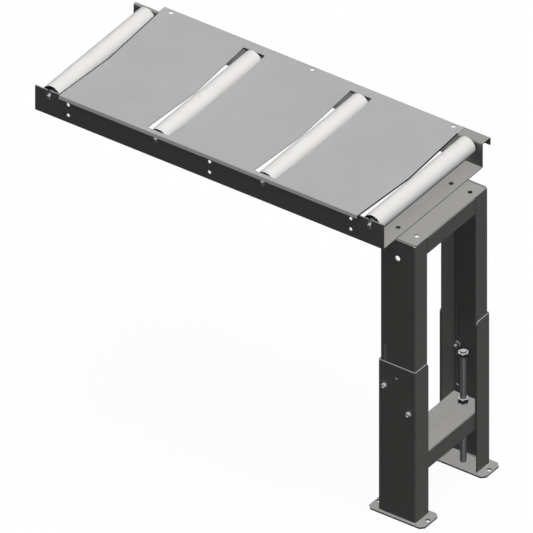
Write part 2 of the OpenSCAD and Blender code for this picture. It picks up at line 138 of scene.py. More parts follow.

# Cover: its length, the dark margin at both ends, the plane of the rear rail's face, and the
# parts of a surface's normal that tell a cut face or one that looks up into the cover's painted shadow
COVER_START, COVER_END = (corner[0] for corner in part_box("cover_plate"))
COVER_MARGIN = 3.2 * MM
COVER_PLAIN_HALF = (COVER_END - COVER_START) / 2 - COVER_MARGIN
RAIL_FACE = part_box("rear_rail")[0][1]
CUT_LEAST_X = 0.5
CUT_MOST_Z = 0.25
UPWARDS_LEAST_Z = 0.1

# Edges of the frame's nodes: bevel, weld before it, and the angle that counts as an edge
NODE_EDGE = 0.4 * MM
NODE_WELD = 0.002 * MM
NODE_EDGE_ANGLE = math.radians(35)


def make_camera():
    """Orthographic camera at the photograph's angle."""
    data = bpy.data.cameras.new("camera")
    data.type = "ORTHO"
    data.ortho_scale = VIEW_WIDTH
    camera = bpy.data.objects.new("camera", data)
    bpy.context.scene.collection.objects.link(camera)
    flat = math.cos(VIEW_ELEVATION)
    towards = Vector((math.sin(VIEW_AZIMUTH) * flat, -math.cos(VIEW_AZIMUTH) * flat,
                      math.sin(VIEW_ELEVATION)))
    camera.location = VIEW_TARGET + towards * VIEW_DISTANCE
    camera.rotation_euler = towards.to_track_quat("Z", "Y").to_euler()
    bpy.context.scene.camera = camera


def seen_or_mirrored(tree):
    """Socket that is 1 for rays from the camera, a reflection or glass, and 0 for diffuse light."""
    path = tree.nodes.new("ShaderNodeLightPath")
    total = path.outputs["Is Camera Ray"]
    for name in ("Is Glossy Ray", "Is Transmission Ray"):
        total = math_node(tree, "MAXIMUM", total, path.outputs[name])
    return total


def between(tree, low, high, factor):
    """Socket that runs from low to high as the factor socket runs from 0 to 1."""
    ramp = tree.nodes.new("ShaderNodeMapRange")
    ramp.inputs["To Min"].default_value = low
    ramp.inputs["To Max"].default_value = high
    tree.links.new(factor, ramp.inputs["Value"])
    return ramp.outputs["Result"]


def make_world():
    """White where it is seen, and a dim even sky for everything else."""
    world = bpy.data.worlds.new("studio")
    world.use_nodes = True
    tree = world.node_tree
    background = tree.nodes["Background"]
    background.inputs["Color"].default_value = grey(1)
    tree.links.new(between(tree, SKY_STRENGTH, 1, seen_or_mirrored(tree)),
                   background.inputs["Strength"])
    bpy.context.scene.world = world


def make_floor():
    """White floor that keeps a faint shadow of the table."""
    mesh = bpy.data.meshes.new("floor")
    half = FLOOR_SIZE / 2
    mesh.from_pydata([(-half, -half, 0), (half, -half, 0), (half, half, 0), (-half, half, 0)], [],
                     [(0, 1, 2, 3)])
    floor = bpy.data.objects.new("floor", mesh)
    bpy.context.scene.collection.objects.link(floor)
    mesh.materials.append(floor_white())


def floor_white():
    """Diffuse grey with a glow that makes it white where it is seen, and dark for other light."""
    material = bpy.data.materials.new("floor")
    material.use_nodes = True
    tree = material.node_tree
    tree.nodes.clear()
    seen = seen_or_mirrored(tree)
    diffuse = tree.nodes.new("ShaderNodeBsdfDiffuse")
    tree.links.new(between(tree, FLOOR_ALBEDO, FLOOR_SEEN_ALBEDO, seen), diffuse.inputs["Color"])
    glow = tree.nodes.new("ShaderNodeEmission")
    tree.links.new(between(tree, 0, 1 - FLOOR_SEEN_ALBEDO, seen), glow.inputs["Strength"])
    both = tree.nodes.new("ShaderNodeAddShader")
    tree.links.new(diffuse.outputs[0], both.inputs[0])
    tree.links.new(glow.outputs[0], both.inputs[1])
    out = tree.nodes.new("ShaderNodeOutputMaterial")
    tree.links.new(both.outputs[0], out.inputs["Surface"])
    return material


def make_sun(name, strength, lean, spread, shadows, pitch=0.0):
    """Distant lamp overhead, leant to the stand's side or pitched to the front."""
    data = bpy.data.lights.new(name, "SUN")
    data.energy = strength
    data.angle = spread
    data.use_shadow = shadows
    sun = bpy.data.objects.new(name, data)
    sun.rotation_euler = (pitch, lean, 0)
    bpy.context.scene.collection.objects.link(sun)
    return sun


def make_strip():
    """Strip lamp that faces the rear rail, for the light that comes up between the rollers."""
    data = bpy.data.lights.new("glow_under_cover", "AREA")
    data.shape = "RECTANGLE"
    low, high = STRIP_X
    data.size = high - low
    data.size_y = STRIP_HEIGHT
    data.energy = STRIP_WATTS
    strip = bpy.data.objects.new("glow_under_cover", data)
    strip.location = ((low + high) / 2, STRIP_Y, STRIP_Z)
    strip.rotation_euler = (math.radians(90), 0, 0)
    strip.visible_camera = False
    bpy.context.scene.collection.objects.link(strip)
    return strip


def light_only(lamp, pieces, state):
    """Makes a lamp light only these pieces, or all but these."""
    group = bpy.data.collections.new(lamp.name + "_" + state.lower())
    for piece in pieces:
        group.objects.link(piece)
    for entry in group.collection_objects:
        entry.light_linking.link_state = state
    lamp.light_linking.receiver_collection = group


def make_lamps(tubes):
    """All lamps, of which the rollers' tubes have one of their own."""
    key = make_sun("overhead", KEY_STRENGTH, KEY_LEAN, KEY_SPREAD, False)
    roller_key = make_sun("overhead_rollers", ROLLER_KEY_STRENGTH, ROLLER_KEY_LEAN, ROLLER_KEY_SPREAD,
                          False)
    soft = make_sun("overhead_soft", SOFT_STRENGTH, KEY_LEAN, SOFT_SPREAD, True)
    make_sun("front", FRONT_STRENGTH, 0, KEY_SPREAD, False, pitch=FRONT_PITCH)
    light_only(key, tubes, "EXCLUDE")
    light_only(soft, tubes, "EXCLUDE")
    light_only(make_strip(), [nodes["rear_rail"]], "INCLUDE")
    light_only(roller_key, tubes, "INCLUDE")


def grey(value):
    """Colour with the same share of red, green and blue."""
    return (value, value, value, 1)


def node_after(tree, kind, **inputs):
    """New shader node of a kind, with some inputs set."""
    made = tree.nodes.new(kind)
    for name, value in inputs.items():
        made.inputs[name].default_value = value
    return made


def new_material(name):
    """Material with a bare Principled shader, its node tree, and that shader."""
    material = bpy.data.materials.new(name)
    material.use_nodes = True
    shader = material.node_tree.nodes["Principled BSDF"]
    return material, material.node_tree, shader


def place_texture(tree, scale):
    """Object coordinates times a scale, for a noise texture."""
    coords = tree.nodes.new("ShaderNodeTexCoord")
    mapping = tree.nodes.new("ShaderNodeMapping")
    mapping.inputs["Scale"].default_value = scale
    tree.links.new(coords.outputs["Object"], mapping.inputs["Vector"])
    return mapping.outputs["Vector"]


def noise_color(tree, vector, base, amount, detail_scale, tint=NEUTRAL):
    """Tinted grey that a soft noise varies by plus or minus amount round base, and the noise."""
    noise = node_after(tree, "ShaderNodeTexNoise", Scale=detail_scale, Detail=NOISE_DETAIL,
                       Roughness=NOISE_ROUGHNESS)
    tree.links.new(vector, noise.inputs["Vector"])
    ramp = tree.nodes.new("ShaderNodeValToRGB")
    low, high = ramp.color_ramp.elements
    low.position, high.position = NOISE_LOW, NOISE_HIGH
    low.color = [base * (1 - amount) * share for share in tint] + [1]
    high.color = [base * (1 + amount) * share for share in tint] + [1]
    tree.links.new(noise.outputs["Fac"], ramp.inputs["Fac"])
    return ramp.outputs["Color"], noise.outputs["Fac"]


def bump_from(tree, shader, height, strength, distance):
    """Gives the shader a bumpy surface from a height socket."""
    bump = node_after(tree, "ShaderNodeBump", Strength=strength, Distance=distance)
    tree.links.new(height, bump.inputs["Height"])
    tree.links.new(bump.outputs["Normal"], shader.inputs["Normal"])


def math_node(tree, operation, first, second=None):
    """Socket with the result of a math node on a socket and a number or another socket."""
    made = tree.nodes.new("ShaderNodeMath")
    made.operation = operation
    tree.links.new(first, made.inputs[0])
    if isinstance(second, (int, float)):
        made.inputs[1].default_value = second
    elif second is not None:
        tree.links.new(second, made.inputs[1])
    return made.outputs[0]


def mixed(tree, color, other, factor):
    """Color socket that turns into the other grey as the factor socket goes from 0 to 1."""
    mix = tree.nodes.new("ShaderNodeMix")
    mix.data_type = "RGBA"
    tree.links.new(factor, mix.inputs["Factor"])
    tree.links.new(color, mix.inputs["A"])
    mix.inputs["B"].default_value = grey(other)
    return mix.outputs["Result"]


def normal_part(tree, axis):
    """Socket with one part of the surface's normal."""
    parts = tree.nodes.new("ShaderNodeSeparateXYZ")
    geometry = tree.nodes.new("ShaderNodeNewGeometry")
    tree.links.new(geometry.outputs["True Normal"], parts.inputs["Vector"])
    return parts.outputs[axis]


def along(tree, axis):
    """Socket with one coordinate in the piece's own frame."""
    coords = tree.nodes.new("ShaderNodeTexCoord")
    parts = tree.nodes.new("ShaderNodeSeparateXYZ")
    tree.links.new(coords.outputs["Object"], parts.inputs["Vector"])
    return parts.outputs[axis]


def off_cover_middle(tree):
    """Socket with the distance along X from the middle of the cover."""
    shifted = math_node(tree, "SUBTRACT", along(tree, "X"), (COVER_START + COVER_END) / 2)
    return math_node(tree, "ABSOLUTE", shifted)


def sheared_faces(tree):
    """1 on the cover's cut faces and on the margins of its ends, which the paint turns dark grey."""
    across = math_node(tree, "ABSOLUTE", normal_part(tree, "X"))
    upright = math_node(tree, "ABSOLUTE", normal_part(tree, "Z"))
    cut = math_node(tree, "MAXIMUM", math_node(tree, "GREATER_THAN", across, CUT_LEAST_X),
                    math_node(tree, "LESS_THAN", upright, CUT_MOST_Z))
    margin = math_node(tree, "GREATER_THAN", off_cover_middle(tree), COVER_PLAIN_HALF)
    between_rails = math_node(tree, "LESS_THAN", along(tree, "Y"), RAIL_FACE)
    return math_node(tree, "MULTIPLY", between_rails, math_node(tree, "MAXIMUM", cut, margin))


def painted_cover_shadow(tree):
    """1 on what faces up under the cover, where the cover's shadow is painted, as the overhead lamp casts
    none.
    """
    covered = math_node(tree, "LESS_THAN", off_cover_middle(tree), COVER_PLAIN_HALF)
    upwards = math_node(tree, "GREATER_THAN", normal_part(tree, "Z"), UPWARDS_LEAST_Z)
    return math_node(tree, "MULTIPLY", covered, upwards)


def painted(name, base, tint, dark_where=None):
    """Powder coat with fine orange peel, and a dark grey where a function's socket is 1."""
    material, tree, shader = new_material(name)
    vector = place_texture(tree, (1, 1, 1))
    color, _ = noise_color(tree, vector, base, PAINT_VARIES, PAINT_CLOUDS, tint)
    if dark_where:
        color = mixed(tree, color, DARK_GREY, dark_where(tree))
    path = tree.nodes.new("ShaderNodeLightPath")
    color = mixed(tree, color, PASSED_ON * base, path.outputs["Is Diffuse Ray"])
    tree.links.new(color, shader.inputs["Base Color"])
    peel = node_after(tree, "ShaderNodeTexNoise", Scale=PEEL_SCALE, Detail=PEEL_DETAIL)
    tree.links.new(vector, peel.inputs["Vector"])
    bump_from(tree, shader, peel.outputs["Fac"], PEEL_STRENGTH, PEEL_DEPTH)
    roughness = between(tree, PAINT_ROUGHNESS - PAINT_ROUGHNESS_SPAN,
                        PAINT_ROUGHNESS + PAINT_ROUGHNESS_SPAN, peel.outputs["Fac"])
    tree.links.new(roughness, shader.inputs["Roughness"])
    shader.inputs["Specular IOR Level"].default_value = PAINT_SPECULAR
    return material


def marked_metal(name, base, roughness, specular, stretch, scale, tint=NEUTRAL):
    """Metal with fine marks drawn out along one axis, as turning or drawing leaves them."""
    material, tree, shader = new_material(name)
    vector = place_texture(tree, stretch)
    color, marks = noise_color(tree, vector, base, STEEL_VARIES, scale, tint)
    tree.links.new(color, shader.inputs["Base Color"])
    bump_from(tree, shader, marks, MARK_STRENGTH, MARK_DEPTH)
    varied = between(tree, roughness - STEEL_ROUGHNESS_SPAN, roughness + STEEL_ROUGHNESS_SPAN, marks)
    tree.links.new(varied, shader.inputs["Roughness"])
    shader.inputs["Specular IOR Level"].default_value = specular
    return material


def frame_paint():
    """Grey coat of the stand, the rails and the plates."""
    return painted("frame_paint", FRAME_GREY, WARM_PAINT)


def cover_paint():
    """Lighter coat of the cover, dark where the sheet is cut."""
    return painted("cover_paint", COVER_GREY, NEUTRAL, sheared_faces)


def roller_steel():
    """Drawn tubes of the rollers, pale and matte."""
    return marked_metal("roller_steel", TUBE_GREY, roughness=0.5, specular=0.0, stretch=ALONG_TUBE,
                        scale=900.0, tint=WARM_STEEL)


def black_plastic():
    """Moulded end cups with a fine spark-eroded grain."""
    material, tree, shader = new_material("black_plastic")
    vector = place_texture(tree, (1, 1, 1))
    color, grain = noise_color(tree, vector, PLASTIC_GREY, GRAIN_VARIES, GRAIN_SCALE)
    tree.links.new(color, shader.inputs["Base Color"])
    bump_from(tree, shader, grain, GRAIN_STRENGTH, GRAIN_DEPTH)
    shader.inputs["Roughness"].default_value = PLASTIC_ROUGHNESS
    shader.inputs["Specular IOR Level"].default_value = PLASTIC_SPECULAR
    return material


def bright_steel():
    """Ground steel of axles and bearings."""
    return marked_metal("bright_steel", BEARING_GREY, roughness=0.4, specular=0.1,
                        stretch=ALONG_BEARING, scale=700.0)


def zinc_fasteners():
    """Zinc coat of bolts, washers, nuts and jack screws."""
    return marked_metal("zinc_fasteners", ZINC_GREY, roughness=0.45, specular=0.1,
                        stretch=ALONG_SCREW, scale=600.0)


def zinc_in_painted_shade():
    """Darker zinc that paints shade on the jack screws' threads and on the sides of the hexagons."""
    return marked_metal("zinc_in_painted_shade", SHADE_ZINC_GREY, roughness=0.4, specular=0.15,
                        stretch=ALONG_SCREW, scale=600.0)


def shaded_paint():
    """Frame paint for the rear rail, with the cover's shadow painted dark on what faces up under it."""
    return painted("shaded_paint", FRAME_GREY, WARM_PAINT, painted_cover_shadow)


MATERIALS = {
    "frame_paint": frame_paint(),
    "cover_paint": cover_paint(),
    "roller_steel": roller_steel(),
    "black_plastic": black_plastic(),
    "bright_steel": bright_steel(),
    "zinc_fasteners": zinc_fasteners(),
}
# Darker zinc that paints shade on threads and the sides of hexagons
SHADE_ZINC = zinc_in_painted_shade()
# Rear rail paint with the cover's shadow painted on it
SHADED_PAINT = shaded_paint()


def dress_node(name):
    """Gives a CAD node its material, and rounds its sheared edges by a modifier."""
    piece = nodes[name]
    piece.data.materials.clear()
    piece.data.materials.append(MATERIALS[slot_of_node[name]])
    # The rear rail gets the paint with the cover's shadow painted on what faces up
    if name == "rear_rail":
        piece.data.materials[0] = SHADED_PAINT
    for face in piece.data.polygons:
        face.use_smooth = True
    weld = piece.modifiers.new("weld", "WELD")
    weld.merge_threshold = NODE_WELD
    bevel = piece.modifiers.new("edge", "BEVEL")
    bevel.width = NODE_EDGE
    bevel.segments = 2
    bevel.limit_method = "ANGLE"
    bevel.angle_limit = NODE_EDGE_ANGLE
    bevel.use_clamp_overlap = True
    weighted = piece.modifiers.new("normals", "WEIGHTED_NORMAL")
    weighted.keep_sharp = True
    weighted.weight = 100


# Threads: where the crest starts and ends and the root starts and ends, as shares of the pitch,
# and how far a thread's ends fall under its root, as a share of its depth
CREST_START, CREST_END, ROOT_START, ROOT_END = 0.0, 0.12, 0.45, 0.67
THREAD_END_SHARE = 0.3
SPARE_TURNS = 4

# Weld beads: sides of the section, steps in millimetres, and the form of tips and ripples
BEAD_SIDES = 8
BEAD_STEP = 0.9
BEAD_LEAST_STEPS = 8
TIP_POWER = 6
TIP_SHARE = 0.02
RIPPLE_SHARE = 0.1
RIPPLE_ANGLE = 2.1

# Sides of turned forms
PLAIN_SEGMENTS = 72
FINE_SEGMENTS = 96
TUBE_SEGMENTS = 128
NUT_SEGMENTS = 48
THREAD_SEGMENTS = 24

# Points of a made mesh that lie nearer than this are joined, in millimetres
JOIN_DISTANCE = 0.004

# Edges of made pieces sharper than this, in degrees, stay sharp in the shading
SHARP_FASTENER = 28
SHARP_TUBE = 50
SHARP_OTHER = 35


class Shape:
    """Points in millimetres and faces, built up from turned, threaded and beaded forms."""

    def __init__(self):
        self.points = []
        self.faces = []
        self.shade_painted = set()

    def add(self, points, faces, place):
        """Adds points and faces, with the points moved by a matrix."""
        start = len(self.points)
        self.points += [place @ Vector(point) for point in points]
        self.faces += [tuple(start + index for index in face) for face in faces]

    def turn(self, outline_at, place, segments=PLAIN_SEGMENTS, shade_painted=()):
        """Form whose closed outline, as (radius, height) points, is given for each angle round Z.

        The stretches that the last argument counts along the outline get a darker zinc, painted as shade.
        """
        rings = [outline_at(2 * math.pi * i / segments) for i in range(segments)]
        count = len(rings[0])
        points = [(r * math.cos(2 * math.pi * i / segments), r * math.sin(2 * math.pi * i / segments), z)
                  for i, ring in enumerate(rings) for r, z in ring]
        faces = []
        for i in range(segments):
            after = (i + 1) % segments
            for j in range(count):
                k = (j + 1) % count
                if j in shade_painted:
                    self.shade_painted.add(len(self.faces) + len(faces))
                faces.append((i * count + j, after * count + j, after * count + k, i * count + k))
        self.add(points, faces, place)

    def thread(self, radius, depth, pitch, length, chamfer, place, segments=THREAD_SEGMENTS,
               shade_painted=False):
        """Right-handed screw thread along +Z from the origin, with chamfered ends."""
        root = radius - depth
        levels = ((CREST_START, radius), (CREST_END, radius), (ROOT_START, root), (ROOT_END, root))
        per_turn = len(levels)
        turns = int(length / pitch) + SPARE_TURNS
        points = []
        for j in range(-per_turn, per_turn * turns):
            step, r = levels[j % per_turn]
            for i in range(segments):
                angle = 2 * math.pi * i / segments
                z = pitch * (j // per_turn + step + i / segments)
                inside = min(max(z, 0), length)
                from_end = min(inside, length - inside)
                most = root - THREAD_END_SHARE * depth if from_end <= 0 else radius - chamfer + from_end
                near = min(r, most)
                points.append((near * math.cos(angle), near * math.sin(angle), inside))
        rows = len(points) // segments
        faces = []
        for j in range(rows):
            for i in range(segments):
                after, lift = (i + 1) % segments, per_turn if i == segments - 1 else 0
                if j + 1 + lift < rows:
                    faces.append((j * segments + i, (j + lift) * segments + after,
                                  (j + 1 + lift) * segments + after, (j + 1) * segments + i))
        # A thread in painted shade gets the darker zinc on its flanks
        if shade_painted:
            start = len(self.faces)
            self.shade_painted.update(range(start, start + len(faces)))
        low, high = len(points), len(points) + 1
        points += [(0, 0, 0), (0, 0, length)]
        last = (rows - 1) * segments
        for i in range(segments):
            after = (i + 1) % segments
            faces.append((low, after, i))
            faces.append((high, last + i, last + after))
        self.add(points, faces, place)

    def bead(self, start, end, radius, outwards=UP):
        """Weld bead from start to end, with the ripples that its runs leave."""
        start, end = Vector(start), Vector(end)
        run = end - start
        forward = run.normalized()
        across = forward.cross(outwards).normalized()
        upwards = across.cross(forward).normalized()
        steps = max(BEAD_LEAST_STEPS, int(run.length / BEAD_STEP))
        points, faces = [], []
        for i in range(steps + 1):
            t = i / steps
            tip = math.sqrt(max(0.0, 1 - abs(2 * t - 1) ** TIP_POWER))
            swell = tip * (1 + RIPPLE_SHARE * math.sin(i * RIPPLE_ANGLE))
            for j in range(BEAD_SIDES):
                angle = 2 * math.pi * j / BEAD_SIDES
                points.append(start + run * t + (across * math.cos(angle) + upwards * math.sin(angle))
                              * radius * max(swell, TIP_SHARE))
        for i in range(steps):
            low, high = i * BEAD_SIDES, (i + 1) * BEAD_SIDES
            for j in range(BEAD_SIDES):
                k = (j + 1) % BEAD_SIDES
                faces.append((low + j, low + k, high + k, high + j))
        faces.append(tuple(range(BEAD_SIDES - 1, -1, -1)))
        faces.append(tuple(steps * BEAD_SIDES + j for j in range(BEAD_SIDES)))
        self.add(points, faces, Matrix())

    def piece(self, name, body, slot, replaces=(), sharp=SHARP_OTHER):
        """Object of this shape that rides on a body and has a slot's material."""
        mesh = bpy.data.meshes.new(name)
        mesh.from_pydata([point * MM for point in self.points], [], self.faces)
        # Faces in painted shade take the second, darker zinc material
        for index in self.shade_painted:
            mesh.polygons[index].material_index = 1
        work = bmesh.new()
        work.from_mesh(mesh)
        bmesh.ops.remove_doubles(work, verts=work.verts, dist=JOIN_DISTANCE * MM)
        bmesh.ops.dissolve_degenerate(work, edges=work.edges, dist=JOIN_DISTANCE * MM)
        bmesh.ops.recalc_face_normals(work, faces=work.faces)
        for face in work.faces:
            face.smooth = True
        work.to_mesh(mesh)
        work.free()
        mesh.set_sharp_from_angle(angle=math.radians(sharp))
        mesh.materials.append(MATERIALS[slot])
        if self.shade_painted:
            mesh.materials.append(SHADE_ZINC)
        made = bpy.data.objects.new(name, mesh)
        bpy.context.scene.collection.objects.link(made)
        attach(made, body)
        if replaces:
            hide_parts(*replaces)
        return made


TO_REAR = Matrix.Rotation(math.radians(-90), 4, "X")
TO_FRONT = Matrix.Rotation(math.radians(90), 4, "X")
INWARDS = {"front": TO_REAR, "rear": TO_FRONT}
OUTWARDS = {"front": -1, "rear": 1}


def corners_mm(name):
    """Lowest and highest corner of a CAD node's box, in millimetres."""
    return [Vector(corner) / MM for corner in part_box(name)]


def middle_mm(name):
    """Centre of a CAD node's box, in millimetres."""
    low, high = corners_mm(name)
    return (low + high) / 2


def outer_y(name, side):
    """Y of the side of a CAD node's box that looks away from the middle of the stand."""
    low, high = corners_mm(name)
    return low.y if side == "front" else high.y


def at(x, y, z):
    """Matrix that moves by millimetres."""
    return Matrix.Translation((x, y, z))


def fixed(outline):
    """Outline that is the same at every angle, for a plain turned form."""
    return lambda angle: outline


def both_faces(near, width):
    """Closed outline from the points of its near face, and their mirror in the face a width away."""
    return near + [(r, width - z) for r, z in reversed(near)]


def hexagon_radius(flats, angle):
    """Distance from a hexagon's middle to its side, at an angle from one of its corners."""
    offset = (angle + math.pi / 6) % (math.pi / 3) - math.pi / 6
    return flats / 2 / math.cos(math.pi / 6 - abs(offset))


# Hexagons: width of a chamfered end as a share of the flats, angle of the chamfer, and in
# millimetres the lead into the bore and the step that stands in for a missing chamfer
HEX_FACE_SHARE = 0.95
HEX_CHAMFER = math.radians(30)
BORE_LEAD = 0.6
PLAIN_STEP = 0.01

# Stretches of a hexagon's outline that get the darker zinc of painted shade: its sides with what lies
# below, and with both chamfers
HEX_SIDES = (1, 2)
HEX_SIDES_AND_TOP = (1, 2, 3)


def hex_outline(flats, low, high, low_chamfer, bore, turn=0.0):
    """Outline of a bored hexagon with a chamfered top and a corner at the turn angle."""
    inner = HEX_FACE_SHARE * flats / 2
    slope = math.tan(HEX_CHAMFER)

    def at_angle(angle):
        r = hexagon_radius(flats, angle - turn)
        drop = (r - inner) * slope
        base = [(inner, low), (r, low + drop)] if low_chamfer else [(r, low), (r, low + PLAIN_STEP)]
        return [(bore + BORE_LEAD, low)] + base + [
            (r, high - drop), (inner, high), (bore + BORE_LEAD, high), (bore, high - BORE_LEAD),
            (bore, low + BORE_LEAD)]
    return at_angle


# Round heads: knurl ridges and their half height, and the sizes of the edges in millimetres
KNURLS = 48
KNURL_HALF = 0.07
HEAD_ROUND = 0.6
HEAD_EDGE = 0.3


def socket_head(radius, height, flats, depth):
    """Outline of a knurled round head below the XY plane, with a hexagon socket in its face."""
    def at_angle(angle):
        socket = hexagon_radius(flats, angle)
        rim = radius - KNURL_HALF + KNURL_HALF * math.cos(KNURLS * angle)
        return [(0, depth - height), (socket, depth - height), (socket, HEAD_EDGE - height),
                (socket + HEAD_EDGE, -height), (radius - HEAD_ROUND, -height), (rim, HEAD_ROUND - height),
                (rim, -HEAD_EDGE), (radius - HEAD_EDGE, 0), (0, 0)]
    return at_angle


# Jack screws and their nuts, in millimetres: the end of the bar passes its welded head
JACK_THREAD = dict(radius=8.0, depth=1.15, pitch=2.0, chamfer=2.0)
JACK_HEAD_HEIGHT = 10
JACK_END = 3
JACK_HEAD_BORE = 7.9
JACK_NUT_BORE = 8.05
NUT_BEAD = 1.5
BEAD_LIFT = 0.3


def hexagon_of(name):
    """Width over flats of a hexagon node that stands upright, and the angle of one corner."""
    low, high = corners_mm(name)
    wide, deep = high.x - low.x, high.y - low.y
    return min(wide, deep), 0.0 if wide > deep else math.pi / 6


def make_jack_screw(side):
    """Jack screw with its thread and the hexagon nut welded on as its head."""
    low, high = corners_mm("jack_screw_" + side)
    centre = middle_mm("jack_screw_" + side)
    flats, turn = hexagon_of("jack_screw_" + side)
    head_top = high.z - JACK_END
    screw = Shape()
    # Thread and hexagon sides get the darker zinc of painted shade
    screw.thread(length=high.z - low.z, place=at(centre.x, centre.y, low.z), shade_painted=True, **JACK_THREAD)
    screw.turn(hex_outline(flats, head_top - JACK_HEAD_HEIGHT, head_top, True, JACK_HEAD_BORE, turn),
               at(centre.x, centre.y, 0), shade_painted=HEX_SIDES)
    screw.piece("jack_screw_thread_" + side, "jack_" + side, "zinc_fasteners",
                replaces=("jack_screw_" + side,), sharp=SHARP_FASTENER)


def make_jack_nut(side):
    """Nut on the beam that a jack screw turns in, with the weld round its foot."""
    flats, turn = hexagon_of("jack_screw_" + side)
    low, high = corners_mm("jack_nut_" + side)
    centre = middle_mm("jack_nut_" + side)
    nut = Shape()
    # Its sides get the darker zinc of painted shade
    nut.turn(hex_outline(flats, low.z, high.z, False, JACK_NUT_BORE, turn),
             at(centre.x, centre.y, 0), shade_painted=HEX_SIDES)
    nut.piece("jack_nut_body_" + side, "lift_frame", "zinc_fasteners",
              replaces=("jack_nut_" + side,), sharp=SHARP_FASTENER)
    weld = Shape()
    reach = hexagon_radius(flats, 0)
    angles = [turn + i * math.pi / 3 for i in range(6)]
    corners = [(centre.x + reach * math.cos(angle), centre.y + reach * math.sin(angle), low.z + BEAD_LIFT)
               for angle in angles]
    for i in range(6):
        weld.bead(corners[i], corners[(i + 1) % 6], NUT_BEAD)
    weld.piece("jack_nut_weld_" + side, "lift_frame", "frame_paint")


# Clamp bolts, washers and nuts, in millimetres
CLAMP_THREAD = dict(radius=4.0, depth=0.72, pitch=1.25, chamfer=0.9)
CLAMP_HEAD = dict(radius=6.5, height=8, flats=6, depth=4)
CLAMP_NUT_FLATS = 13
CLAMP_NUT_HEIGHT = 6.4
CLAMP_NUT_BORE = 4.05
WASHER_RADIUS = 8.0
WASHER_BORE = 4.25
WASHER_WALL = 1.6
WASHER_EDGE = 0.15


def washer_outline():
    """Flat washer with broken edges."""
    return both_faces([(WASHER_BORE, WASHER_EDGE), (WASHER_BORE + WASHER_EDGE, 0),
                       (WASHER_RADIUS - WASHER_EDGE, 0), (WASHER_RADIUS, WASHER_EDGE)], WASHER_WALL)


def clamp_places(side):
    """X and Z of the two clamp bolts of a side, from the box of their nuts."""
    low, high = corners_mm("clamp_nuts_" + side)
    x = (high.x - low.x) / 2 - hexagon_radius(CLAMP_NUT_FLATS, 0)
    half = CLAMP_NUT_FLATS / 2
    out = OUTWARDS[side]
    return (x * out, high.z - half), (-x * out, low.z + half)


def make_clamps(side):
    """Bolts, washers and nuts that clamp a leg in its sleeve."""
    inwards = INWARDS[side]
    low, high = corners_mm("clamp_bolts_" + side)
    head_height = CLAMP_HEAD["height"]
    under_head = outer_y("clamp_bolts_" + side, side) - OUTWARDS[side] * head_height
    length = high.y - low.y - head_height
    washer_y = outer_y("clamp_washers_" + side, side)
    nut_y = outer_y("clamp_nuts_" + side, side)
    head = socket_head(**CLAMP_HEAD)
    nut = hex_outline(CLAMP_NUT_FLATS, 0.0, CLAMP_NUT_HEIGHT, True, CLAMP_NUT_BORE)
    bolts, washers, nuts = Shape(), Shape(), Shape()
    for x, z in clamp_places(side):
        bolts.turn(head, at(x, under_head, z) @ inwards, segments=FINE_SEGMENTS)
        bolts.thread(length=length, place=at(x, under_head, z) @ inwards, **CLAMP_THREAD)
        washers.turn(fixed(washer_outline()), at(x, washer_y, z) @ inwards)
        # The nuts' sides and chamfers get the darker zinc of painted shade
        nuts.turn(nut, at(x, nut_y, z) @ inwards, segments=NUT_SEGMENTS, shade_painted=HEX_SIDES_AND_TOP)
    for shape, kind in ((bolts, "bolts"), (washers, "washers"), (nuts, "nuts")):
        node = "clamp_%s_%s" % (kind, side)
        shape.piece("clamp_%s_detailed_%s" % (kind, side), "stand_base", "zinc_fasteners",
                    replaces=(node,), sharp=SHARP_FASTENER)


# Rollers, in millimetres, with heights counted from the tube's end
TUBE_RADIUS = 25
TUBE_WALL = 2
TUBE_ROUND = 0.7
TUBE_ROUND_STEPS = 4
EDGE = 0.3
FIT_GAP = 0.05
CUP_RADIUS = TUBE_RADIUS - TUBE_WALL - FIT_GAP
CUP_WALL = 2.5
CUP_DEPTH = 18.0
CUP_RIM_INSET = 0.5
CUP_RECESS = 2.5
CUP_FLANGE = 3.0
CUP_SHOULDER = 2.0
CUP_BORE = 10.55
CUP_CORNER = 0.25
RIBS = 12
RIB_INNER, RIB_OUTER, RIB_HALF = 15.2, 20.6, 0.6
RIB_LOW, RIB_HIGH = 1.1, 2.6
BEARING_RADIUS = 14.0
BEARING_WIDTH = 8.0
RACE_BORE = 11.5
RACE_ROUND = 0.4
INNER_RING_RADIUS = 8.5
INNER_RING_BORE = 6.05

# Near face of a bearing's outer race and pressed shield, as radius and depth in the bearing
SHIELD_FACE = [(8.55, 0.5), (8.7, 0.3), (9.2, 0.6), (11.2, 0.6), (RACE_BORE, RACE_ROUND)]
RACE_FACE = [(RACE_BORE, 0.0), (BEARING_RADIUS - RACE_ROUND, 0.0), (BEARING_RADIUS, RACE_ROUND)]


def tube_outline(length):
    """Tube wall with its outer edges rolled round at both ends."""
    bore = TUBE_RADIUS - TUBE_WALL
    middle = TUBE_RADIUS - TUBE_ROUND
    angles = [math.pi / 2 * i / TUBE_ROUND_STEPS for i in range(TUBE_ROUND_STEPS + 1)]
    rolled = [(middle + TUBE_ROUND * math.sin(angle), TUBE_ROUND - TUBE_ROUND * math.cos(angle))
              for angle in angles]
    return both_faces([(bore, EDGE), (bore + EDGE, 0.0)] + rolled, length)


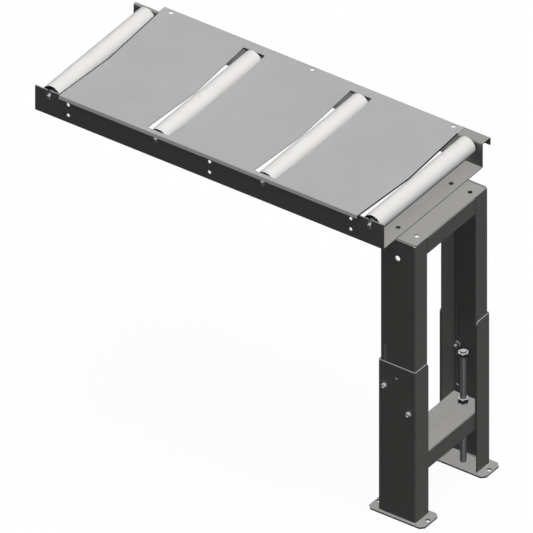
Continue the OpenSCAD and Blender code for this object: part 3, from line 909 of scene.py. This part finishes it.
def cup_outline():
    """End cup: seat of the bearing, flange, and the sleeve that fits in the tube."""
    inside = CUP_RADIUS - CUP_WALL
    seat = BEARING_RADIUS + FIT_GAP
    boss = seat + CUP_WALL
    seat_end = CUP_RECESS + BEARING_WIDTH + FIT_GAP
    boss_end = seat_end + CUP_SHOULDER + FIT_GAP
    flange_end = CUP_RECESS + CUP_FLANGE
    return [(CUP_BORE, boss_end), (CUP_BORE, seat_end), (seat, seat_end), (seat, CUP_RECESS),
            (inside - CUP_CORNER, CUP_RECESS), (inside, CUP_RECESS - EDGE), (inside, CUP_RIM_INSET + EDGE),
            (inside + EDGE, CUP_RIM_INSET), (CUP_RADIUS - EDGE, CUP_RIM_INSET),
            (CUP_RADIUS, CUP_RIM_INSET + EDGE), (CUP_RADIUS, CUP_DEPTH - EDGE),
            (CUP_RADIUS - EDGE, CUP_DEPTH), (inside + EDGE, CUP_DEPTH), (inside, CUP_DEPTH - EDGE),
            (inside, flange_end), (boss, flange_end), (boss, boss_end - EDGE),
            (boss - CUP_CORNER, boss_end)]


def ring_outline():
    """Inner ring of a bearing, with its edges rounded."""
    return both_faces([(INNER_RING_BORE, EDGE), (INNER_RING_BORE + EDGE, 0.0),
                       (INNER_RING_RADIUS - EDGE, 0.0), (INNER_RING_RADIUS, EDGE)], BEARING_WIDTH)


def roller_ends(body):
    """Matrices that put a form on the front and the rear end of a roller, facing in."""
    low, high = corners_mm(body + "_tube")
    centre = middle_mm(body + "_tube")
    return at(centre.x, low.y, centre.z) @ TO_REAR, at(centre.x, high.y, centre.z) @ TO_FRONT


def make_tube(body):
    """Roller's tube with rolled ends."""
    low, high = corners_mm(body + "_tube")
    front, _ = roller_ends(body)
    tube = Shape()
    tube.turn(fixed(tube_outline(high.y - low.y)), front, segments=TUBE_SEGMENTS)
    return tube.piece(body + "_shell", body, "roller_steel", replaces=(body + "_tube",),
                      sharp=SHARP_TUBE)


def make_cups(body):
    """Roller's end cups with their ribs."""
    cups = Shape()
    rib = [(x, y, z) for z in (RIB_LOW, RIB_HIGH) for x, y in
           ((RIB_INNER, -RIB_HALF), (RIB_OUTER, -RIB_HALF), (RIB_OUTER, RIB_HALF), (RIB_INNER, RIB_HALF))]
    rib_faces = [(0, 1, 2, 3), (7, 6, 5, 4), (0, 4, 5, 1), (1, 5, 6, 2), (2, 6, 7, 3), (3, 7, 4, 0)]
    for place in roller_ends(body):
        cups.turn(fixed(cup_outline()), place, segments=FINE_SEGMENTS)
        for i in range(RIBS):
            cups.add(rib, rib_faces, place @ Matrix.Rotation(2 * math.pi * i / RIBS, 4, "Z"))
    cups.piece(body + "_ribbed_cups", body, "black_plastic", replaces=(body + "_end_cups",))


def make_races(body):
    """Outer races and shields of a roller's bearings."""
    races = Shape()
    for place in roller_ends(body):
        races.turn(fixed(both_faces(SHIELD_FACE + RACE_FACE, BEARING_WIDTH)),
                   place @ at(0, 0, CUP_RECESS), segments=FINE_SEGMENTS)
    races.piece(body + "_shielded_bearings", body, "bright_steel", replaces=(body + "_bearings",))


def make_inner_rings(bodies):
    """Inner rings of all bearings, which stand still on the axles."""
    rings = Shape()
    for body in bodies:
        for place in roller_ends(body):
            rings.turn(fixed(ring_outline()), place @ at(0, 0, CUP_RECESS), segments=FINE_SEGMENTS)
    rings.piece("inner_rings_rounded", "lift_frame", "bright_steel", replaces=("bearing_inner_rings",))


def make_rollers():
    """All rollers, and the list of their tubes."""
    bodies = ["roller_%d" % number for number in ROLLERS]
    tubes = []
    for body in bodies:
        tubes.append(make_tube(body))
        make_cups(body)
        make_races(body)
    make_inner_rings(bodies)
    return tubes


# Welds, in millimetres: node and start of each run on the tie plates, with its length
TIE_RUNS = (("stand_end_plate", 12), ("stand_end_plate", 62), ("machine_end_plate", 10))
TIE_RUN_LENGTH = 26
TIE_BEAD = 1.6
TIE_BEAD_IN = 0.4
TIE_BEAD_LIFT = 0.2
STAND_WALL = 3
FOOT_BEAD = 2.0
FOOT_WEB_HALF = 34
FOOT_FLANGE_RUN = (12, 44)
BEAM_BEAD = 1.5
BEAM_BEAD_X = 46.6
BEAM_BEAD_IN = 6
BEAM_BEAD_DROP = 9
BEAM_BEAD_RISE = 6


def make_tie_welds():
    """Beads along the front edges of the plates that tie the rails."""
    weld = Shape()
    for node, offset in TIE_RUNS:
        low, high = corners_mm(node)
        x, y, z = low.x + offset, low.y + TIE_BEAD_IN, high.z + TIE_BEAD_LIFT
        weld.bead((x, y, z), (x + TIE_RUN_LENGTH, y, z), TIE_BEAD)
    weld.piece("end_plate_welds", "lift_frame", "frame_paint")


def make_foot_weld(side):
    """Beads inside a sleeve's web and flanges, on its foot."""
    out = OUTWARDS[side]
    low, high = corners_mm("sleeve_" + side)
    z = low.z + BEAD_LIFT
    web = outer_y("sleeve_" + side, side) - out * STAND_WALL
    weld = Shape()
    weld.bead((-FOOT_WEB_HALF, web - out * BEAD_LIFT, z), (FOOT_WEB_HALF, web - out * BEAD_LIFT, z),
              FOOT_BEAD)
    near, far = (web - out * reach for reach in FOOT_FLANGE_RUN)
    for x in (low.x + STAND_WALL + BEAD_LIFT, high.x - STAND_WALL - BEAD_LIFT):
        weld.bead((x, near, z), (x, far, z), FOOT_BEAD)
    weld.piece("foot_weld_" + side, "stand_base", "frame_paint")


def make_beam_weld(side):
    """Upright beads that hold an end of the jack beam in its leg."""
    out = OUTWARDS[side]
    low, high = corners_mm("jack_beam")
    y = outer_y("jack_beam", side) - out * BEAM_BEAD_IN
    weld = Shape()
    for x in (-BEAM_BEAD_X, BEAM_BEAD_X):
        weld.bead((x, y, high.z - BEAM_BEAD_DROP), (x, y, low.z + BEAM_BEAD_RISE), BEAM_BEAD,
                  Vector((0, out, 0)))
    weld.piece("beam_weld_" + side, "lift_frame", "frame_paint")


make_camera()
make_world()
make_floor()
for name in nodes:
    dress_node(name)
tubes = make_rollers()
for side in SIDES:
    make_jack_screw(side)
    make_jack_nut(side)
    make_clamps(side)
make_tie_welds()
for side in SIDES:
    make_foot_weld(side)
    make_beam_weld(side)
make_lamps(tubes)
bpy.context.scene.view_settings.view_transform = "Standard"
